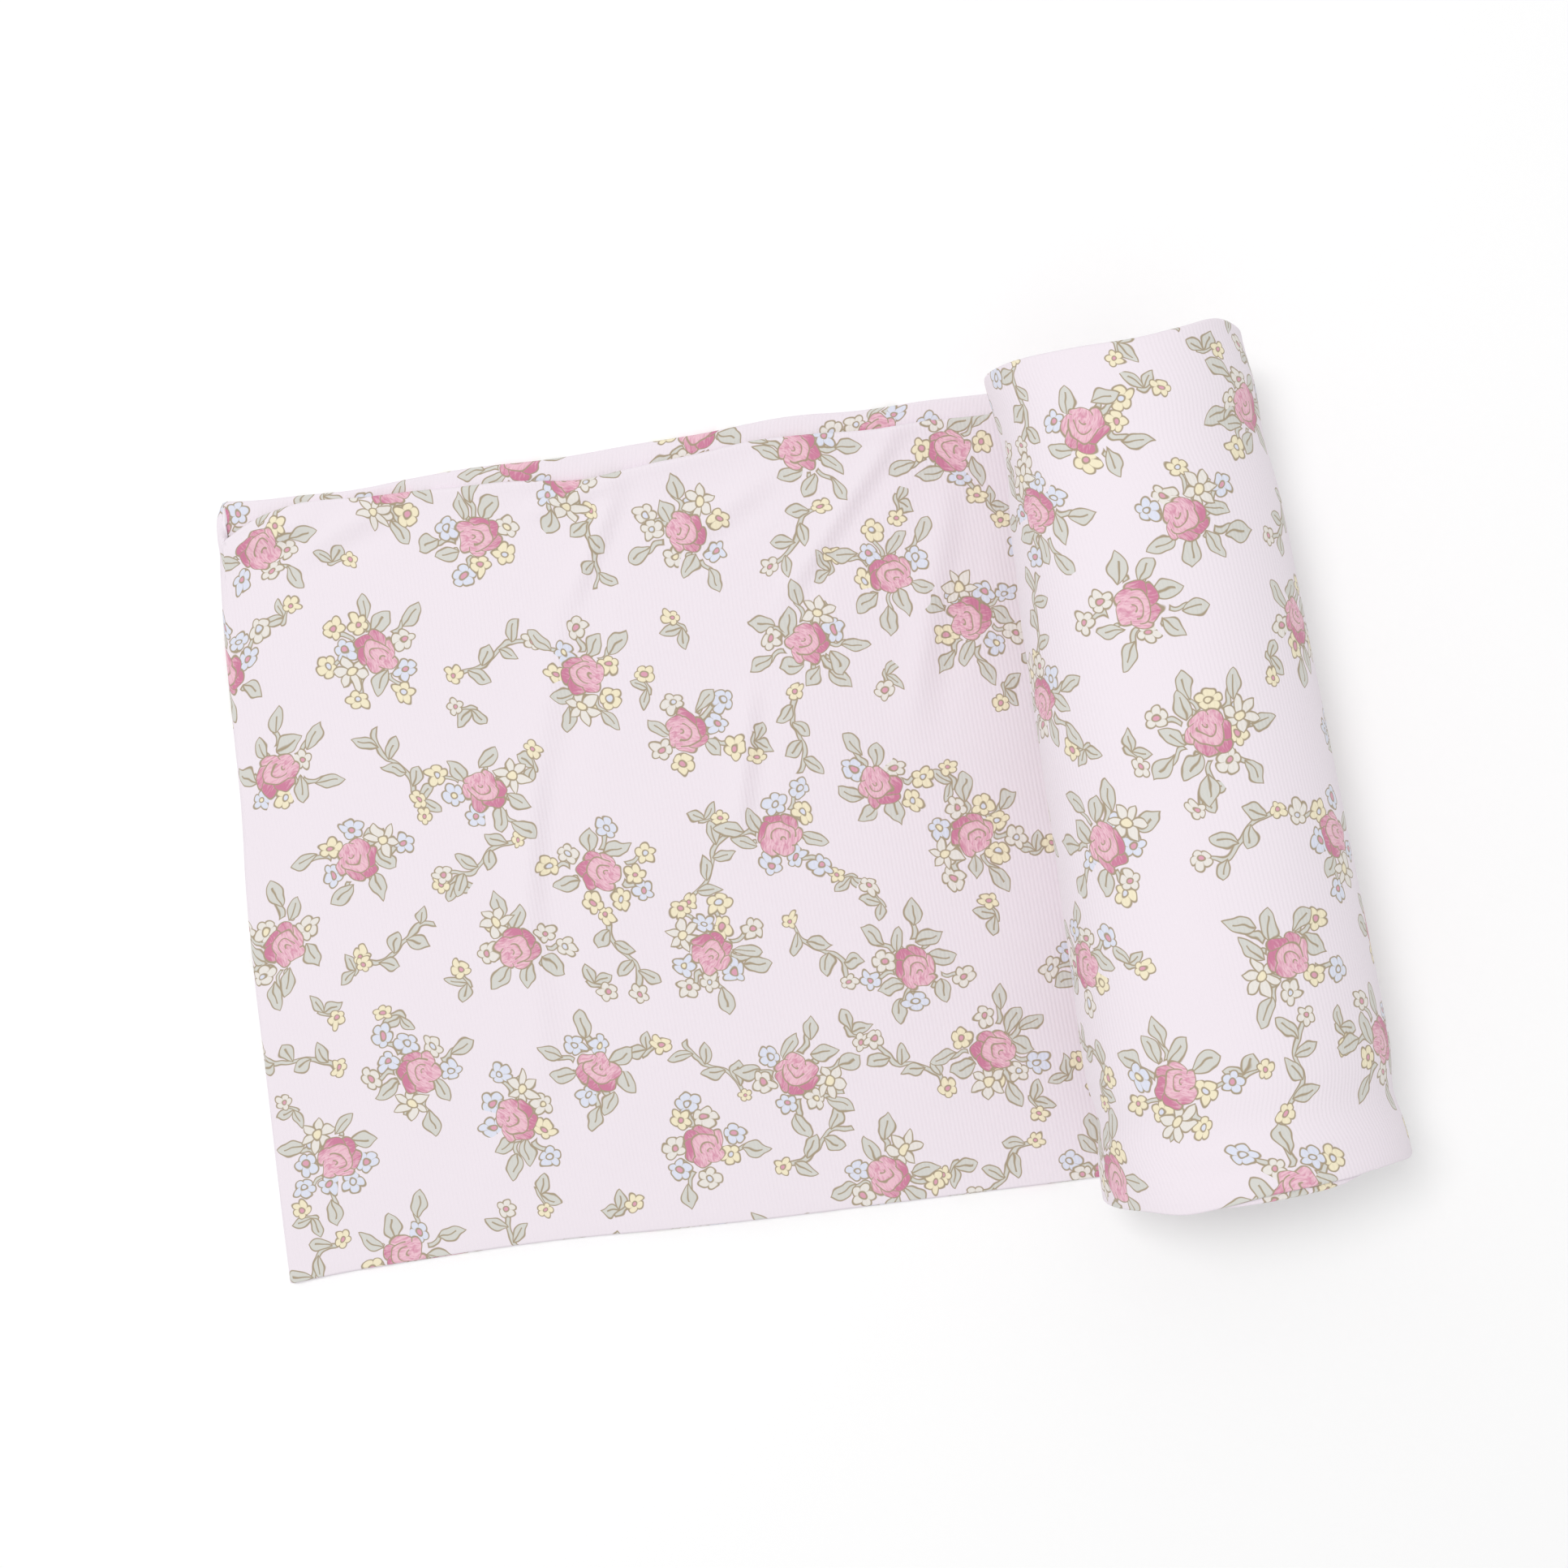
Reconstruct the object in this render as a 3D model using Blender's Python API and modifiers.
"""Baby wrap sling: one long jersey cloth, folded into a flat band and rolled up from one end.

The cloth is a strip about 4.8 m long and 0.6 m wide. It is folded once along its length, so that
it is 0.3 m wide with a folded edge at +Y and two cut edges at -Y, and once end to end, so that
two strands lie on each other and meet in a loop at -X. The free ends are wound into the core of
the roll. The frame has +X along the band, from the loop to the roll, +Y along the roll and +Z
up, and its origin is on the table under the middle of the whole.

Three bodies follow from how it unrolls: the flat band stays, the lead-in is the stretch that
passes under the roll and up its side, and the roll turns inside the lead-in as it travels.
"""

import math

import bpy
from mathutils import Vector

QUARTER = math.pi / 2

# Cloth, in metres
LEAF = 0.00065  # one layer of jersey, with its nap
SLIT = 0.0003  # air between the two layers of a strand
STRAND = 2 * LEAF + SLIT  # a strand is two layers, folded on each other
STRAND_PITCH = 0.0021  # from the underside of one strand to the underside of the next
BAND = STRAND_PITCH + STRAND  # the flat band is two strands

# Roll, by the outer radius of its first turn
ROLL_NEAR = 0.0563  # at the -Y end, where the roll is looser
ROLL_FAR = 0.0478  # at the +Y end
ROLL_MEAN = (ROLL_NEAR + ROLL_FAR) / 2
PITCH = 2 * STRAND_PITCH  # how much the radius loses in a turn
TURNS = 10
STEPS_PER_TURN = 24
CUT = 0.0009  # between two turns of one strand
SWING_GAP = 0.0008  # between the roll and the lead-in that it turns in
LEAD_MEAN = ROLL_MEAN + SWING_GAP + BAND  # outer radius of the lead-in

# Plan of the whole
ROLL_FROM_LOOP = 0.309  # from the loop to the line above which the roll begins
LAID_LENGTH = 0.030  # the flat part of the lead-in
SEAM_GAP = 0.0004  # between two stretches of one strand
NEAR_Y, FAR_Y = -0.1515, 0.1515  # the cut edges, and the folded edge of the lower strand
UPPER_FOLD_Y = 0.1435  # the folded edge of the upper strand, set back
LOOP_LENGTH = 0.004


def taper(y):
    """How much larger than the mean the section of the roll is at y."""
    share = (FAR_Y - y) / (FAR_Y - NEAR_Y)
    return (ROLL_FAR + share * (ROLL_NEAR - ROLL_FAR)) / ROLL_MEAN


def spiral_radius(turned):
    """Outer radius of the wound band, by the angle turned since its first touch of the table."""
    return ROLL_MEAN - PITCH * turned / (2 * math.pi)


AXIS_OFFSET = spiral_radius(3 * QUARTER)  # from the roll's -X side to its axis
TOTAL_LENGTH = ROLL_FROM_LOOP + taper(NEAR_Y) * (AXIS_OFFSET + LEAD_MEAN)
LOOP_X = -TOTAL_LENGTH / 2
ROLL_X = LOOP_X + ROLL_FROM_LOOP
LIFT_X = ROLL_X + taper(FAR_Y) * AXIS_OFFSET  # the band is flat at least as far as this
FLAT_END_X = LIFT_X - LAID_LENGTH


def printed_jersey(name):
    """Pale pink cotton jersey with a small floral print, here as its mean colour."""
    material = bpy.data.materials.new(f"{name}_jersey")
    material.use_nodes = True
    shader = material.node_tree.nodes["Principled BSDF"]
    shader.inputs["Base Color"].default_value = (0.86, 0.77, 0.84, 1.0)
    shader.inputs["Roughness"].default_value = 0.9
    shader.inputs["Metallic"].default_value = 0.0
    return material


def bend(limb, radius, start, end, steps=6):
    """The points of a round bend about the end of a limb that lies along the outline's X."""
    angles = [start + (end - start) * step / steps for step in range(steps + 1)]
    return [Vector((limb + radius * math.cos(a), radius * math.sin(a))) for a in angles]


def hairpin(reach, outer, inner):
    """Outline of a folded layer: two straight limbs from X = 0 that meet in a half-round bend."""
    limb = reach - outer
    outside = [Vector((0, -outer))] + bend(limb, outer, -QUARTER, QUARTER) + [Vector((0, outer))]
    inside = [Vector((0, inner))] + bend(limb, inner, QUARTER, -QUARTER) + [Vector((0, -inner))]
    return outside + inside


def extruded(name, outline, depth, collection):
    """A flat outline as a 2D curve, extruded by half its depth to each side."""
    curve = bpy.data.curves.new(name, "CURVE")
    curve.dimensions = "2D"
    curve.fill_mode = "BOTH"
    curve.extrude = depth / 2
    spline = curve.splines.new("POLY")
    spline.points.add(len(outline) - 1)
    for point, place in zip(spline.points, outline):
        point.co = (place.x, place.y, 0, 1)
    spline.use_cyclic_u = True
    curve.materials.append(printed_jersey(name))
    obj = bpy.data.objects.new(name, curve)
    collection.objects.link(obj)
    return obj


def loop_fold(collection):
    """The loop at the band's -X end, where the upper strand turns down into the lower one."""
    outline = hairpin(LOOP_LENGTH, BAND / 2, BAND / 2 - STRAND)
    obj = extruded("loop_fold", outline, UPPER_FOLD_Y - NEAR_Y, collection)
    # The outline's X is turned to point to -X, so its depth lies along Y.
    obj.rotation_euler = (QUARTER, 0, math.pi)
    obj.location = (LOOP_X + LOOP_LENGTH, (UPPER_FOLD_Y + NEAR_Y) / 2, BAND / 2)


def flat_strand(name, fold_y, bottom_z, collection):
    """The flat stretch of a strand: two layers with a slit between them and their fold at +Y."""
    start_x = LOOP_X + LOOP_LENGTH + SEAM_GAP
    outline = hairpin(fold_y - NEAR_Y, STRAND / 2, SLIT / 2)
    obj = extruded(name, outline, FLAT_END_X - start_x, collection)
    # The outline's X lies along +Y and its Y along +Z, so its depth lies along X.
    obj.rotation_euler = (QUARTER, 0, QUARTER)
    obj.location = ((start_x + FLAT_END_X) / 2, NEAR_Y, bottom_z + STRAND / 2)


def roll_point(radius, turned, y):
    """A point at a mean radius from the roll's axis, at an angle turned from straight down."""
    across = AXIS_OFFSET + radius * math.sin(turned)
    up = LEAD_MEAN - radius * math.cos(turned)
    return Vector((ROLL_X + taper(y) * across, y, taper(y) * up))


def ribbon(name, near_line, far_line, collection):
    """A strip between two lines of points, made a strand thick towards the roll's axis."""
    count = len(near_line)
    mesh = bpy.data.meshes.new(name)
    faces = [(i, i + count, i + 1 + count, i + 1) for i in range(count - 1)]
    mesh.from_pydata(near_line + far_line, [], faces)
    mesh.materials.append(printed_jersey(name))
    mesh.shade_smooth()
    obj = bpy.data.objects.new(name, mesh)
    collection.objects.link(obj)
    thickness = obj.modifiers.new("strand", "SOLIDIFY")
    thickness.thickness = STRAND
    thickness.offset = -1
    thickness.use_even_offset = True


def lead_in(name, inset, collection):
    """The stretch of a strand that lies under the roll and then climbs to its widest point."""
    steps = STEPS_PER_TURN // 4
    angles = [QUARTER * step / steps for step in range(steps + 1)]
    lines = []
    for y in (NEAR_Y, FAR_Y):
        arc = [roll_point(LEAD_MEAN - inset, angle, y) for angle in angles]
        lines.append([Vector((FLAT_END_X + SEAM_GAP, y, arc[0].z))] + arc)
    ribbon(name, lines[0], lines[1], collection)


def wound_turn(name, turn, inset, collection):
    """One full turn of a strand in the roll, counted from the outside."""
    start, end = 2 * math.pi * turn, 2 * math.pi * (turn + 1)
    trim = CUT / 2 / spiral_radius(end)
    angles = [start + trim]
    angles += [start + 2 * math.pi * step / STEPS_PER_TURN for step in range(1, STEPS_PER_TURN)]
    angles += [end - trim]
    lines = [[roll_point(spiral_radius(a) - inset, a, y) for a in angles] for y in (NEAR_Y, FAR_Y)]
    ribbon(name, lines[0], lines[1], collection)


def build():
    for obj in list(bpy.data.objects):
        bpy.data.objects.remove(obj)
    collection = bpy.data.collections.new("baby_wrap_sling")
    bpy.context.scene.collection.children.link(collection)
    loop_fold(collection)
    # The lower strand is the outer one in the roll, and the upper strand the inner one.
    for strand, fold_y, inset in (("lower", FAR_Y, 0.0), ("upper", UPPER_FOLD_Y, STRAND_PITCH)):
        flat_strand(f"{strand}_strand_flat", fold_y, inset, collection)
        lead_in(f"{strand}_strand_lead_in", inset, collection)
        for turn in range(TURNS):
            wound_turn(f"{strand}_strand_turn_{turn + 1:02d}", turn, inset, collection)


build()
